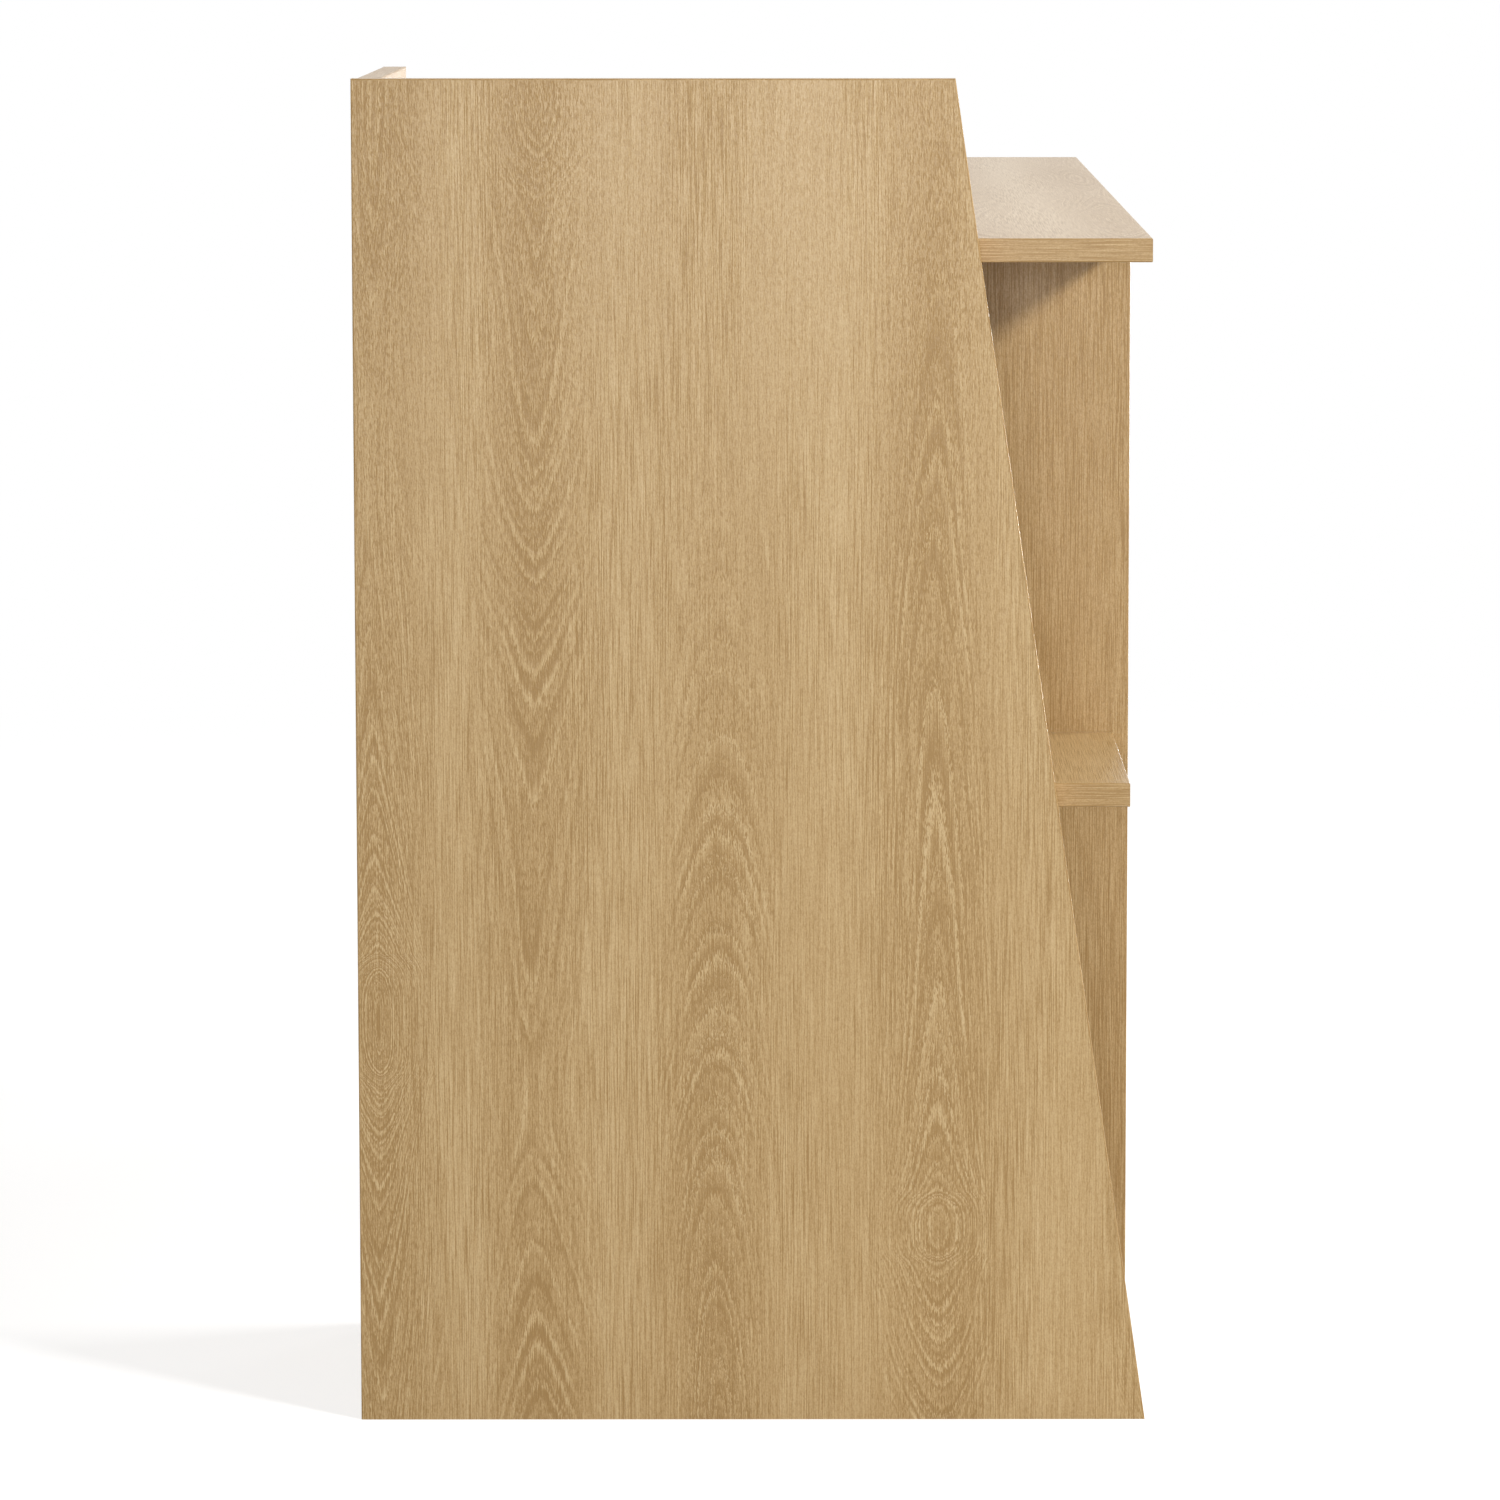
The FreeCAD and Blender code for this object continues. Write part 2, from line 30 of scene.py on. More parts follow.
# Each heart of the printed oak's flat-sawn figure runs along the sheet: its place across the sheet, how
# tightly its arches close, how round their tops are, how far pores break their lines, and how deep it lies
# under the face at places along the sheet, in mm. Arches point to where it lies deeper, and an eye opens
# where it comes nearest to the face.
HEARTS = [
    (14, 2, 1.5, 2, {
        0: 88, 140: 66, 215: 34, 255: 8, 300: 38, 370: 66, 480: 84, 610: 92, 850: 76, 1080: 92, 1300: 88}),
    (115, 0.85, 1.4, 1.8, {
        0: 70, 60: 79, 145: 90, 205: 96, 275: 92, 400: 86,
        480: 77, 620: 52, 770: 38, 850: 14, 1080: 50, 1300: 70}),
    (229, 1.3, 2, 5.5, {
        0: 4, 160: 36, 330: 70, 480: 92, 570: 102, 650: 109, 850: 104, 1100: 60, 1300: 4}),
    (365, 1.5, 1.7, 3.2, {
        0: 74, 60: 55, 100: 42, 124: 30, 148: 41, 185: 50,
        260: 57, 480: 68, 720: 86, 850: 96, 1100: 70, 1300: 66}),
    (520, 1.3, 1.4, 2.4, {
        0: 80, 400: 30, 700: 96, 1000: 30, 1300: 80}),
]


def linear(hex_colour):
    """An sRGB hex colour as the linear RGBA that shader sockets take."""
    shares = [int(hex_colour[place:place + 2], 16) / 255 for place in (1, 3, 5)]
    straight = [share / 12.92 if share <= 0.04045 else ((share + 0.055) / 1.055) ** 2.4 for share in shares]
    return (*straight, 1)


def feed(tree, node, inputs):
    """Fills a node's inputs. A plain value is set there, and another node or one of its outputs is linked."""
    for name, value in inputs.items():
        if isinstance(value, bpy.types.Node):
            value = value.outputs[0]
        if isinstance(value, bpy.types.NodeSocket):
            tree.links.new(value, node.inputs[name])
        else:
            node.inputs[name].default_value = value


def add(tree, kind, inputs=None, stops=None, **settings):
    """Adds a node with its settings and inputs. A colour ramp also has stops, hex colours by their places."""
    node = tree.nodes.new(kind)
    for name, value in settings.items():
        setattr(node, name, value)
    feed(tree, node, inputs or {})
    if stops:
        first, *between, last = stops
        elements = node.color_ramp.elements
        elements[0].position = first
        elements[1].position = last
        for place in between:
            elements.new(place)
        for element, hex_colour in zip(elements, stops.values()):
            element.color = linear(hex_colour)
    return node


# The print changes within this many mm through the board, so that its two faces differ.
THROUGH_CHANGE = 7


def streaks(tree, place, size, detail):
    """Noise in streaks along the grain, of that width and length in mm."""
    width, length = size
    stretched = add(tree, "ShaderNodeVectorMath", {0: place, 1: (1 / width, 1 / length, 1 / THROUGH_CHANGE)},
                    operation="MULTIPLY")
    return add(tree, "ShaderNodeTexNoise", {"Vector": stretched, "Scale": 1, "Detail": detail})


def weigh(tree, start, parts):
    """A start value plus each part's swing about its middle, times its weight."""
    total = start
    for part, weight in parts:
        swing = add(tree, "ShaderNodeMath", {0: part, 1: weight, 2: -weight / 2}, operation="MULTIPLY_ADD")
        total = add(tree, "ShaderNodeMath", {0: total, 1: swing}, operation="ADD")
    return total


def merge(tree, parts, operation):
    """The lowest or highest of several parts."""
    merged = parts[0]
    for part in parts[1:]:
        merged = add(tree, "ShaderNodeMath", {0: merged, 1: part}, operation=operation)
    return merged


oak_print = bpy.data.node_groups.new("oak_print", "ShaderNodeTree")
oak_print.interface.new_socket("Place", in_out="INPUT", socket_type="NodeSocketVector")
oak_print.interface.new_socket("Open grain and shade", in_out="INPUT", socket_type="NodeSocketFloat")
oak_print.interface.new_socket("Colour", in_out="OUTPUT", socket_type="NodeSocketColor")
oak_print.interface.new_socket("Height", in_out="OUTPUT", socket_type="NodeSocketFloat")
asked = add(oak_print, "NodeGroupInput")
on_sheet = asked.outputs["Place"]
asked_grain_and_shade = asked.outputs["Open grain and shade"]
sheet_axes = add(oak_print, "ShaderNodeSeparateXYZ", {0: on_sheet})
across_sheet = sheet_axes.outputs[ACROSS]
along_sheet = sheet_axes.outputs[ALONG]

# The trunk sways by a few mm either way, in long bends and in short ones. A heart's figure fades out to its
# sides, and where the heart lies deep.
LONG_BEND = (150, 420)
LONG_SWAY = 20
SHORT_BEND = (30, 90)
SHORT_SWAY = 5
FULL_FIGURE_WITHIN = 6
NO_FIGURE_BEYOND = 44
FULL_FIGURE_DEPTH = 84
wander = weigh(oak_print, across_sheet, [
    (streaks(oak_print, on_sheet, LONG_BEND, 0), LONG_SWAY),
    (streaks(oak_print, on_sheet, SHORT_BEND, 1), SHORT_SWAY),
])
share = add(oak_print, "ShaderNodeMath", {0: along_sheet, 1: 1 / SHEET_LENGTH}, operation="MULTIPLY")
ring_fields = []
figures = []
tears = []
for centre, spread, roundness, breaks, depths in HEARTS:
    depth = add(oak_print, "ShaderNodeFloatCurve", {"Value": share})
    points = depth.mapping.curves[0].points
    marks = [(at / SHEET_LENGTH, deep / DEEPEST) for at, deep in depths.items()]
    points[0].location = marks[0]
    points[1].location = marks[-1]
    for mark in marks[1:-1]:
        points.new(*mark)
    depth.mapping.update()
    inwards = add(oak_print, "ShaderNodeMath", {0: depth, 1: DEEPEST}, operation="MULTIPLY")
    offset = add(oak_print, "ShaderNodeMath", {0: wander, 1: centre}, operation="SUBTRACT")
    aside = add(oak_print, "ShaderNodeMath", {0: offset}, operation="ABSOLUTE")
    sideways = add(oak_print, "ShaderNodeMath", {0: aside, 1: spread}, operation="MULTIPLY")

    near = add(oak_print, "ShaderNodeMapRange", {
        "Value": aside, "From Min": FULL_FIGURE_WITHIN, "From Max": NO_FIGURE_BEYOND,
        "To Min": 1, "To Max": 0})
    shallow = add(oak_print, "ShaderNodeMapRange", {
        "Value": inwards, "From Min": FULL_FIGURE_DEPTH, "From Max": DEEPEST,
        "To Min": 1, "To Max": 0})
    figure = add(oak_print, "ShaderNodeMath", {0: near, 1: shallow}, operation="MULTIPLY")
    figures.append(figure)
    tears.append(add(oak_print, "ShaderNodeMath", {0: figure, 1: breaks}, operation="MULTIPLY"))

    side_power = add(oak_print, "ShaderNodeMath", {0: sideways, 1: roundness}, operation="POWER")
    depth_power = add(oak_print, "ShaderNodeMath", {0: inwards, 1: roundness}, operation="POWER")
    both = add(oak_print, "ShaderNodeMath", {0: side_power, 1: depth_power}, operation="ADD")
    ring_fields.append(add(oak_print, "ShaderNodeMath", {0: both, 1: 1 / roundness}, operation="POWER"))
rings = merge(oak_print, ring_fields, "MINIMUM")
heart = merge(oak_print, figures, "MAXIMUM")
torn = merge(oak_print, tears, "MAXIMUM")

# The lines of the figure are growth rings. Pores break them into short strokes along the grain, and fibres
# comb them. Pores are 0.2 mm wide in real oak and fibres far finer: both are drawn wider, so that they show.
PORE = (0.55, 4)
FIBRE = (0.7, 48)
FIBRE_COMB = 2.1
RING_WIDTH = 1.5
dash = streaks(oak_print, on_sheet, PORE, 1)
fibre = streaks(oak_print, on_sheet, FIBRE, 1)
jitter = weigh(oak_print, 0, [(dash, 1)])
broken = add(oak_print, "ShaderNodeMath", {0: jitter, 1: torn}, operation="MULTIPLY")
frayed = weigh(oak_print, rings, [(fibre, FIBRE_COMB)])
combed = add(oak_print, "ShaderNodeMath", {0: frayed, 1: broken}, operation="ADD")
counted = add(oak_print, "ShaderNodeMath", {0: combed, 1: 1 / RING_WIDTH}, operation="MULTIPLY")
growth = add(oak_print, "ShaderNodeTexNoise", {"W": counted, "Scale": 1, "Detail": 1}, noise_dimensions="1D")
line = add(oak_print, "ShaderNodeMapRange", {
    "Value": growth, "From Min": 0.38, "From Max": 0.68, "To Min": -0.5, "To Max": 1})

# The lines are bolder in some patches than in others. They and the fibres are fainter further up the sheet.
LINE_TONE = 0.29
PATCH = (14, 50)
PATCHINESS = 1.2
FULL_PRINT_BELOW = 380
FAINT_PRINT_ABOVE = 740
FAINTNESS = 0.55
patchy = weigh(oak_print, heart, [(streaks(oak_print, on_sheet, PATCH, 1), PATCHINESS)])
boldness = add(oak_print, "ShaderNodeMapRange", {
    "Value": patchy, "From Min": 0.1, "From Max": 0.9, "To Min": 0, "To Max": LINE_TONE})
fading = add(oak_print, "ShaderNodeMapRange", {
    "Value": along_sheet, "From Min": FULL_PRINT_BELOW, "From Max": FAINT_PRINT_ABOVE,
    "To Min": 1, "To Max": FAINTNESS})
bold_here = add(oak_print, "ShaderNodeMath", {0: boldness, 1: fading}, operation="MULTIPLY")
lines = add(oak_print, "ShaderNodeMath", {0: line, 1: bold_here}, operation="MULTIPLY")

# Straight grain shows as dark furrows. They lie in wide zones, mostly between the hearts, and all over a
# board that is asked to have open grain.
ZONE = (45, 300)
ZONE_SWING = 2.2
ZONE_LOSS_AT_HEARTS = -0.9
FURROW = (0.5, 40)
zones = weigh(oak_print, 0.5, [
    (streaks(oak_print, on_sheet, ZONE, 0), ZONE_SWING),
    (heart, ZONE_LOSS_AT_HEARTS),
])
straight = add(oak_print, "ShaderNodeMapRange", {
    "Value": zones, "From Min": 0.4, "From Max": 1.1, "To Min": 0.05, "To Max": 0.65})
opened = add(oak_print, "ShaderNodeMath", {0: straight, 1: asked_grain_and_shade}, operation="MAXIMUM")
furrow = add(oak_print, "ShaderNodeMapRange", {
    "Value": streaks(oak_print, on_sheet, FURROW, 0),
    "From Min": 0.5, "From Max": 0.68, "To Min": 0.1, "To Max": -0.34})
furrows = add(oak_print, "ShaderNodeMath", {0: furrow, 1: opened}, operation="MULTIPLY")

# The tone runs from dark to pale. Hearts are darker, pores crowd at the hearts, and wide clouds and small
# specks vary it everywhere. Open grain darkens it as well: partly the print's own darker ground, and partly
# painted shade, standing in for the shade on the partition inside the tower and on the board edges.
GROUND_TONE = 0.53
HEART_TONE = -0.2
OPEN_GRAIN_TONE_AND_SHADE = -0.22
PORE_CROWDING = 0.8
FIBRE_TONE = 0.62
DASH_TONE = 0.2
CLOUD = (40, 500)
CLOUD_TONE = 0.16
SPECK = (0.9, 1.2)
SPECK_TONE = 0.22
shade = add(oak_print, "ShaderNodeMath", {0: heart, 1: HEART_TONE, 2: GROUND_TONE}, operation="MULTIPLY_ADD")
figured = add(oak_print, "ShaderNodeMath", {0: shade, 1: lines}, operation="ADD")
grained = add(oak_print, "ShaderNodeMath", {0: figured, 1: furrows}, operation="ADD")
# Open grain darkens the ground: partly the print's own darker tone, partly painted shade.
ground = add(oak_print, "ShaderNodeMath", {0: asked_grain_and_shade, 1: OPEN_GRAIN_TONE_AND_SHADE, 2: grained},
             operation="MULTIPLY_ADD")
dark_pores = add(oak_print, "ShaderNodeMapRange", {
    "Value": dash, "From Min": 0.48, "From Max": 0.66, "To Min": 0.04, "To Max": -0.16})
crowding = add(oak_print, "ShaderNodeMath", {0: heart, 1: PORE_CROWDING, 2: 1}, operation="MULTIPLY_ADD")
pored = add(oak_print, "ShaderNodeMath", {0: dark_pores, 1: crowding, 2: ground}, operation="MULTIPLY_ADD")
fine_lines = weigh(oak_print, 0, [(fibre, FIBRE_TONE), (dash, DASH_TONE)])
strokes = add(oak_print, "ShaderNodeMath", {0: fine_lines, 1: fading, 2: pored}, operation="MULTIPLY_ADD")
tone = weigh(oak_print, strokes, [
    (streaks(oak_print, on_sheet, CLOUD, 1), CLOUD_TONE),
    (streaks(oak_print, on_sheet, SPECK, 0), SPECK_TONE),
])
oak_tones = add(oak_print, "ShaderNodeValToRGB", {"Fac": tone}, stops={
    0.2: "#9c7b49", 0.5: "#b69767", 0.8: "#ccb184"})
add(oak_print, "NodeGroupOutput", {"Colour": oak_tones, "Height": tone})


def satin_oak(tree, place, open_grain_and_shade, relief):
    """Oak print under a satin melamine skin: fine open grain to the eye, and a soft shine at low angles."""
    oak = add(tree, "ShaderNodeGroup", node_tree=oak_print)
    feed(tree, oak, {"Place": place, "Open grain and shade": open_grain_and_shade})
    height = oak.outputs["Height"]
    gloss = add(tree, "ShaderNodeMapRange", {"Value": height, "To Min": 0.36, "To Max": 0.26})
    pressed = add(tree, "ShaderNodeBump", {
        "Height": height, "Distance": relief / MILLIMETRES, "Strength": 0.5})
    return oak.outputs["Colour"], gloss, pressed


def start_material(name):
    """A new material, its nodes, its shader and the coordinates that its pattern is drawn on."""
    material = bpy.data.materials.new(name)
    material.use_nodes = True
    tree = material.node_tree
    texture = add(tree, "ShaderNodeTexCoord")
    return material, tree, tree.nodes["Principled BSDF"], texture.outputs


# Melamine resin shines a little less than clear lacquer, because its pressed skin is satin. Sawn edges and
# bores have no skin: they show dull chips, which lie flat in the plane of the board. Sizes are in mm.
MELAMINE_SHINE = 0.35
BOARD_RELIEF = 0.3
BARE_ROUGHNESS = 0.85
CHIP_LENGTH = 2.5
CHIP_THICKNESS = 0.8
SQUARE_TO_FACE = 0.7


def oak_board(label, axes, start, turn=1, open_grain_and_shade=0, relief=BOARD_RELIEF):
    """Melamine-faced chipboard: oak print on both faces, and bare pressed chips where it is sawn or drilled.

    The axes are the desk's own across the grain, along it and through the board. Start is where the desk's
    origin falls on the printed sheet, in mm, and a turn of -1 shows the sheet from its other side.
    """
    across, along, through = axes
    material, tree, shader, texture = start_material(f"melamine_faced_chipboard_{label}")
    place = add(tree, "ShaderNodeSeparateXYZ", {0: texture["Object"]})
    facing = add(tree, "ShaderNodeSeparateXYZ", {0: texture["Normal"]})
    sheet = add(tree, "ShaderNodeCombineXYZ", {
        ACROSS: place.outputs[across], ALONG: place.outputs[along], THROUGH: place.outputs[through]})
    cut = add(tree, "ShaderNodeMapping", {
        "Vector": sheet, "Location": start, "Scale": (turn * MILLIMETRES, MILLIMETRES, MILLIMETRES)})
    oak, gloss, pressed = satin_oak(tree, cut, open_grain_and_shade, relief)

    flattened = add(tree, "ShaderNodeVectorMath", {
        0: cut, 1: (1 / CHIP_LENGTH, 1 / CHIP_LENGTH, 1 / CHIP_THICKNESS)}, operation="MULTIPLY")
    chips = add(tree, "ShaderNodeTexVoronoi", {"Vector": flattened, "Scale": 1})
    chip = add(tree, "ShaderNodeSeparateColor", {0: chips.outputs["Color"]})
    bare = add(tree, "ShaderNodeValToRGB", {"Fac": chip}, stops={0: "#8f6f46", 0.35: "#b5956a", 1: "#cdb288"})
    squareness = add(tree, "ShaderNodeMath", {0: facing.outputs[through]}, operation="ABSOLUTE")
    faced = add(tree, "ShaderNodeMath", {0: squareness, 1: SQUARE_TO_FACE}, operation="GREATER_THAN")
    surface = add(tree, "ShaderNodeMix", {"Factor": faced, "A": bare, "B": oak}, data_type="RGBA")
    rough = add(tree, "ShaderNodeMix", {"Factor": faced, "A": BARE_ROUGHNESS, "B": gloss})
    feed(tree, shader, {
        "Base Color": surface.outputs["Result"], "Roughness": rough, "Normal": pressed,
        "Specular IOR Level": MELAMINE_SHINE})
    return material


def dress(node, material):
    """Gives a CAD node its one material."""
    nodes[node].data.materials.clear()
    nodes[node].data.materials.append(material)


dress("side_panel", oak_board("side_panel", (Y, Z, X), (250, 0, 0), turn=-1))

# Partition: the upright between the book tower and the knees, the same melamine-faced chipboard cut square.
# The worktop lies on it, and cam bolts in it hold the shelves. Its print is straight grain with open pores,
# and its open grain also darkens it with painted shade, for the shade it stands in inside the tower.
dress("partition_panel", oak_board("partition", (Y, Z, X), (800, 200, 0), open_grain_and_shade=0.55))

# End panel: the upright at the far end of the worktop, cut from the same chipboard to the side panel's lean.
# It stops at the worktop's underside, where cam locks and dowels hold the worktop down.
dress("end_panel", oak_board("end_panel", (Y, Z, X), (250, 300, 40)))

# Back panel: the narrow chipboard that closes the tower's back, as high as the side panel, so that the two
# make a corner upstand above the worktop. Cam locks in its rear face pull it to the uprights. Its front face
# is seen at so low an angle that the full relief would glitter, so its own is shallower.
BACK_PANEL_RELIEF = 0.06
dress("back_panel", oak_board("back_panel", (X, Z, Y), (700, 100, 0), relief=BACK_PANEL_RELIEF))

# Bottom shelf and plinth: the chipboard floor of the lower compartment, with the grain along the desk, and
# the kick rail that carries its front edge. Cam locks hold the shelf, and dowels alone hold the rail.
dress("bottom_shelf", oak_board("bottom_shelf", (Y, X, Z), (250, 1100, 0)))
dress("plinth", oak_board("plinth", (Z, X, Y), (100, 900, 0)))

# Mid shelf: the fixed chipboard shelf of the tower, with the grain along the desk. Cam locks in its underside
# pull it between the side panel and the partition.
dress("mid_shelf", oak_board("mid_shelf", (Y, X, Z), (820, 900, 0)))

# Modesty panel: the chipboard rail across the back of the knee space, fixed by cam locks at both ends, which
# keeps the desk from racking.
dress("modesty_panel", oak_board("modesty_panel", (Z, X, Y), (-400, 650, 0)))

# Worktop: one long board of the same chipboard, with the grain along the desk. It butts against the side
# panel and lies on the partition and the end panel, where cam bolts in its underside hold it.
dress("desktop", oak_board("desktop", (Y, X, Z), (250, 620, 0)))

# Edging: ABS strip in the oak print, glued on hot and trimmed to the board, with its two arrises scraped
# round. The print on a narrow strip is all straight grain, so the eye gets fine lines along every edge, and
# its open grain also darkens the strips with painted shade. The strip is embossed less deeply than the
# boards.
STRAIGHT_GRAIN = (300, 400, 0)
ALL_OPEN_AND_SHADED = 1
EDGING_RELIEF = 0.08


def edge_band(label, axes):
    """Oak-printed ABS edging. A strip that faces one long axis of its board has its grain along the other."""
    first, second, through = axes
    material, tree, shader, texture = start_material(f"abs_edging_{label}")
    place = add(tree, "ShaderNodeSeparateXYZ", {0: texture["Object"]})
    facing = add(tree, "ShaderNodeSeparateXYZ", {0: texture["Normal"]})
    to_first = add(tree, "ShaderNodeMath", {0: facing.outputs[first]}, operation="ABSOLUTE")
    to_second = add(tree, "ShaderNodeMath", {0: facing.outputs[second]}, operation="ABSOLUTE")
    turned = add(tree, "ShaderNodeMath", {0: to_first, 1: to_second}, operation="GREATER_THAN")
    along = add(tree, "ShaderNodeMix", {
        "Factor": turned, "A": place.outputs[first], "B": place.outputs[second]})
    strip = add(tree, "ShaderNodeCombineXYZ", {ACROSS: place.outputs[through], ALONG: along})
    cut = add(tree, "ShaderNodeMapping", {
        "Vector": strip, "Location": STRAIGHT_GRAIN, "Scale": (MILLIMETRES, MILLIMETRES, MILLIMETRES)})
    oak, gloss, pressed = satin_oak(tree, cut, ALL_OPEN_AND_SHADED, EDGING_RELIEF)
    feed(tree, shader, {
        "Base Color": oak, "Roughness": gloss, "Normal": pressed, "Specular IOR Level": MELAMINE_SHINE})
    return material


for upright in ("side_panel", "end_panel", "partition"):
    dress(f"{upright}_edging", edge_band(upright, (Y, Z, X)))
for level in ("desktop", "mid_shelf", "bottom_shelf"):
    dress(f"{level}_edging", edge_band(level, (X, Y, Z)))
for rear in ("back_panel", "modesty_panel"):
    dress(f"{rear}_edging", edge_band(rear, (X, Z, Y)))

# Dowels: beech pins, 8 mm thick, turned from rod and glued into one board of each joint.
# Beech is pale pinkish brown with short darker flecks along the pin.
FLECK = (0.5, 3)
FLECK_RELIEF = 0.2


def dress_each(ending, material):
    """Gives one material to every CAD node whose name has that ending."""
    for name in nodes:
        if name.endswith(ending):
            dress(name, material)


beech, tree, shader, texture = start_material("turned_beech")
in_rod = add(tree, "ShaderNodeMapping", {
    "Vector": texture["Object"], "Scale": (MILLIMETRES, MILLIMETRES, MILLIMETRES)})
flecks = streaks(tree, in_rod, FLECK, 2)
feed(tree, shader, {
    "Base Color": add(tree, "ShaderNodeValToRGB", {"Fac": flecks}, stops={0.3: "#b98f62", 0.6: "#d9b98d"}),
    "Roughness": add(tree, "ShaderNodeMapRange", {"Value": flecks, "To Min": 0.75, "To Max": 0.55}),
    "Normal": add(tree, "ShaderNodeBump", {
        "Height": flecks, "Distance": FLECK_RELIEF / MILLIMETRES, "Strength": 0.4}),
})
dress_each("_dowels", beech)

# Cam bolts: turned steel pins with a waisted head, screwed into the face of one board of each joint.
# Bright zinc plating gives a pale bluish grey metal with faintly uneven gloss.
PLATING_PATCH = 2
PLATING_RELIEF = 0.05
zinc_plated, tree, shader, texture = start_material("zinc_plated_steel")
plating = add(tree, "ShaderNodeTexNoise", {
    "Vector": texture["Object"], "Scale": MILLIMETRES / PLATING_PATCH, "Detail": 3})
feed(tree, shader, {
    "Metallic": 1,
    "Base Color": add(tree, "ShaderNodeValToRGB", {"Fac": plating}, stops={0.3: "#a3a7ab", 0.7: "#c8cbcd"}),
    "Roughness": add(tree, "ShaderNodeMapRange", {"Value": plating, "To Min": 0.22, "To Max": 0.42}),
    "Normal": add(tree, "ShaderNodeBump", {
        "Height": plating, "Distance": PLATING_RELIEF / MILLIMETRES, "Strength": 0.3}),
})
dress_each("_cam_bolts", zinc_plated)

# Cam locks: die-cast zinc drums, pushed into bores in the boards and turned to pull the bolts in. The raw
# casting is a dull warm grey, slightly pitted from the mould. The pits are drawn coarser, so that they show.
PIT = 0.8
PIT_RELIEF = 0.2
zinc_cast, tree, shader, texture = start_material("zinc_die_casting")
pitting = add(tree, "ShaderNodeTexNoise", {
    "Vector": texture["Object"], "Scale": MILLIMETRES / PIT, "Detail": 3})
feed(tree, shader, {
    "Metallic": 1,
    "Base Color": add(tree, "ShaderNodeValToRGB", {"Fac": pitting}, stops={0.3: "#8b8883", 0.7: "#b3b0aa"}),
    "Roughness": add(tree, "ShaderNodeMapRange", {"Value": pitting, "To Min": 0.6, "To Max": 0.4}),
    "Normal": add(tree, "ShaderNodeBump", {
        "Height": pitting, "Distance": PIT_RELIEF / MILLIMETRES, "Strength": 0.5}),
})
dress_each("_cam_locks", zinc_cast)

# Cover caps: moulded polypropylene discs in a tan near the oak's, pressed into the cam locks that face the
# knees. The moulded skin is matt, with a fine even grain that is drawn coarser, so that it shows.
SKIN_GRAIN = 0.5
SKIN_RELIEF = 0.1
cap_plastic, tree, shader, texture = start_material("moulded_polypropylene")
moulded = add(tree, "ShaderNodeTexNoise", {
    "Vector": texture["Object"], "Scale": MILLIMETRES / SKIN_GRAIN, "Detail": 1})
feed(tree, shader, {
    "Base Color": add(tree, "ShaderNodeValToRGB", {"Fac": moulded}, stops={0.3: "#b4946a", 0.7: "#bfa077"}),
    "Roughness": add(tree, "ShaderNodeMapRange", {"Value": moulded, "To Min": 0.5, "To Max": 0.6}),
    "Normal": add(tree, "ShaderNodeBump", {
        "Height": moulded, "Distance": SKIN_RELIEF / MILLIMETRES, "Strength": 0.4}),
})
dress_each("_cover_caps", cap_plastic)

# Floor: a wide sheet painted matt white, which keeps a soft shadow round the desk. It is seen with a glow, as
# if lit from below, and goes over into plain white further out. Distances are in metres.
FLOOR_REACH = 60
FLOOR_GLOW = 0.7
PAINT_ROUGHNESS = 0.9
WHITE_FROM = 0.9
ALL_WHITE_FROM = 3


def seen_rays(tree):
    """1 for a ray from the camera, straight, reflected or through glass, and 0 for one that brings light."""
    rays = add(tree, "ShaderNodeLightPath").outputs
    direct = add(tree, "ShaderNodeMath", {0: rays["Is Camera Ray"], 1: rays["Is Transmission Ray"]},
                 operation="MAXIMUM")
    return add(tree, "ShaderNodeMath", {0: direct, 1: rays["Is Glossy Ray"]}, operation="MAXIMUM")


floor_mesh = bpy.data.meshes.new("floor")
floor_shape = bmesh.new()
bmesh.ops.create_grid(floor_shape, x_segments=1, y_segments=1, size=FLOOR_REACH)
floor_shape.to_mesh(floor_mesh)
floor_shape.free()
floor = bpy.data.objects.new("floor", floor_mesh)
bpy.context.scene.collection.objects.link(floor)
floor_paint, tree, paint, texture = start_material("matt_white_floor_paint")
feed(tree, paint, {"Base Color": linear("#b4b4b4"), "Roughness": PAINT_ROUGHNESS})
away = add(tree, "ShaderNodeVectorMath", {0: texture["Object"]}, operation="LENGTH")
whitened = add(tree, "ShaderNodeMapRange", {
    "Value": away.outputs["Value"], "From Min": WHITE_FROM, "From Max": ALL_WHITE_FROM},
    interpolation_type="SMOOTHSTEP")
seen = seen_rays(tree)
glow = add(tree, "ShaderNodeMath", {0: seen, 1: FLOOR_GLOW}, operation="MULTIPLY")
lit_from_below = add(tree, "ShaderNodeEmission", {"Color": linear("#ffffff"), "Strength": glow})
near_desk = add(tree, "ShaderNodeAddShader", {0: paint, 1: lit_from_below})
white = add(tree, "ShaderNodeEmission", {"Color": linear("#ffffff"), "Strength": 1})
white_share = add(tree, "ShaderNodeMath", {0: seen, 1: whitened}, operation="MULTIPLY")
blended = add(tree, "ShaderNodeMixShader", {0: white_share, 1: near_desk, 2: white})
feed(tree, tree.nodes["Material Output"], {"Surface": blended})
floor_mesh.materials.append(floor_paint)

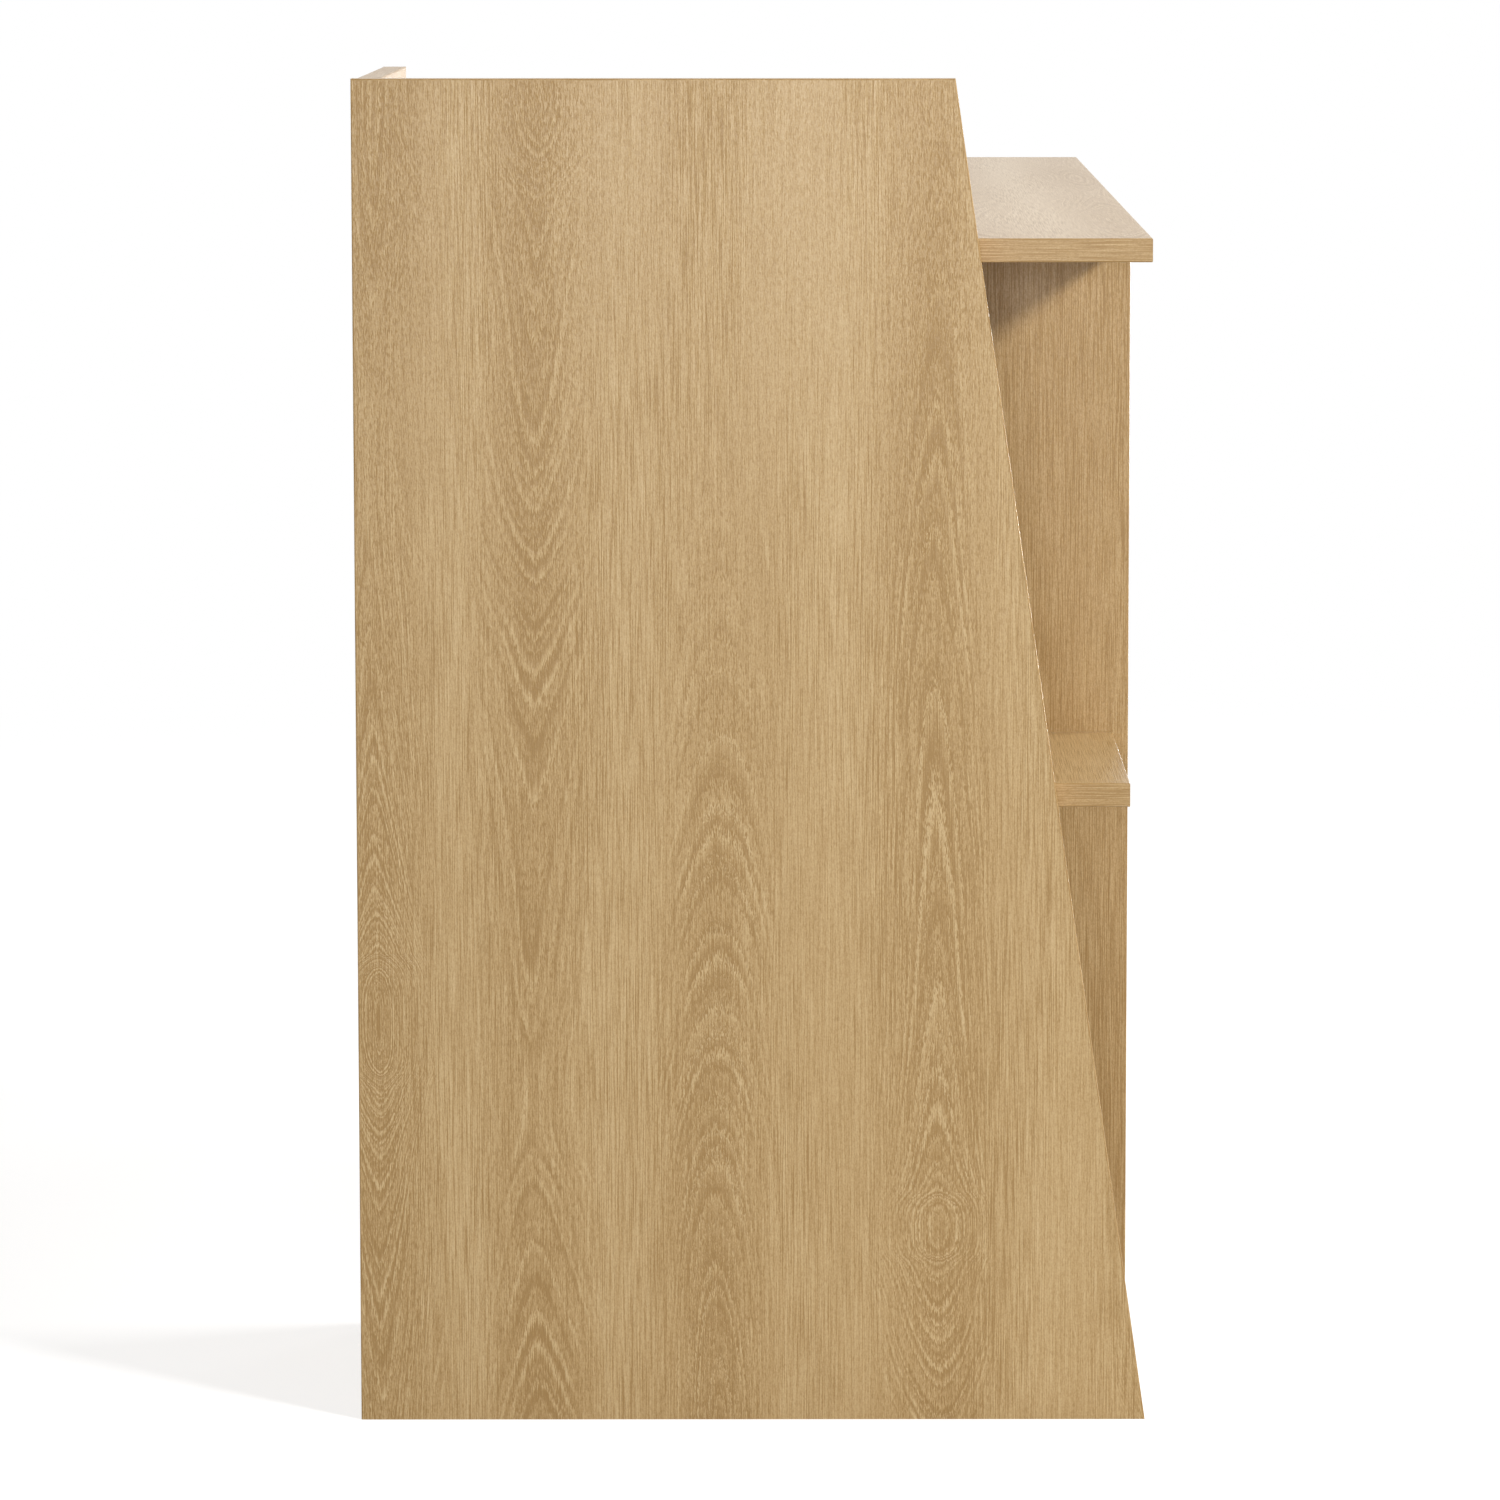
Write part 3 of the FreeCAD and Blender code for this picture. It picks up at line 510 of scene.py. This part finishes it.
# Light: an even white studio and six softboxes on stands. The key stands at the tower's front corner, and the
# tower's own gives the shine on the side panel. The rest light the front, the far end and the rear.
ROOM_LIGHT = 0.22
world = bpy.data.worlds.new("white_studio")
bpy.context.scene.world = world
world.use_nodes = True
tree = world.node_tree
strength = add(tree, "ShaderNodeMapRange", {"Value": seen_rays(tree), "To Min": ROOM_LIGHT, "To Max": 1})
feed(tree, tree.nodes["Background"], {"Color": linear("#ffffff"), "Strength": strength})


def softbox(name, place, aim, size, power):
    """A lamp behind a rectangle of white cloth, turned to its aim and hidden from the camera."""
    lamp = bpy.data.lights.new(name, "AREA")
    lamp.shape = "RECTANGLE"
    lamp.size, lamp.size_y = size
    lamp.energy = power
    stand = bpy.data.objects.new(name, lamp)
    stand.location = place
    stand.rotation_euler = (Vector(aim) - Vector(place)).to_track_quat("-Z", "Y").to_euler()
    stand.visible_camera = False
    bpy.context.scene.collection.objects.link(stand)


softbox("key_softbox", place=(-3.1, -2.8, 2.55), aim=(-0.5, -0.2, 0.6), size=(0.5, 0.5), power=144)
softbox("tower_softbox", place=(-6, 0, 1.05), aim=(-0.6, 0, 0.7), size=(1.2, 0.9), power=68)
softbox("front_softbox", place=(0.3, -2.8, 2.7), aim=(-0.2, 0, 0.6), size=(1.2, 1.2), power=72)
softbox("end_softbox", place=(3.6, -2.4, 0.42), aim=(0.2, 0, 0.4), size=(1.6, 0.6), power=85)
softbox("rear_softbox", place=(0.8, 4.5, 1.2), aim=(0, 0.2, 0.5), size=(2.5, 1.5), power=70)
softbox("far_softbox", place=(4.5, 0, 1.5), aim=(0, 0, 0.75), size=(3, 1.2), power=2.8)

# Camera: a long lens a little above the desk's top, square to the tower's end and tilted down a few degrees,
# with the frame shifted as a view camera does, so that the uprights stay nearly parallel.
QUARTER_TURN = math.radians(90)
DOWNWARD_TILT = math.radians(6.412)
SIDEWAYS_TURN = math.radians(0.173)
camera_data = bpy.data.cameras.new("camera")
camera_data.lens = 153.67
camera_data.shift_x = -0.057
camera_data.shift_y = -0.1
camera = bpy.data.objects.new("camera", camera_data)
camera.location = (-4.588, -0.0393, 0.9724)
camera.rotation_euler = (QUARTER_TURN - DOWNWARD_TILT, 0, -QUARTER_TURN - SIDEWAYS_TURN)
bpy.context.scene.collection.objects.link(camera)
bpy.context.scene.camera = camera
bpy.context.scene.view_settings.view_transform = "Standard"
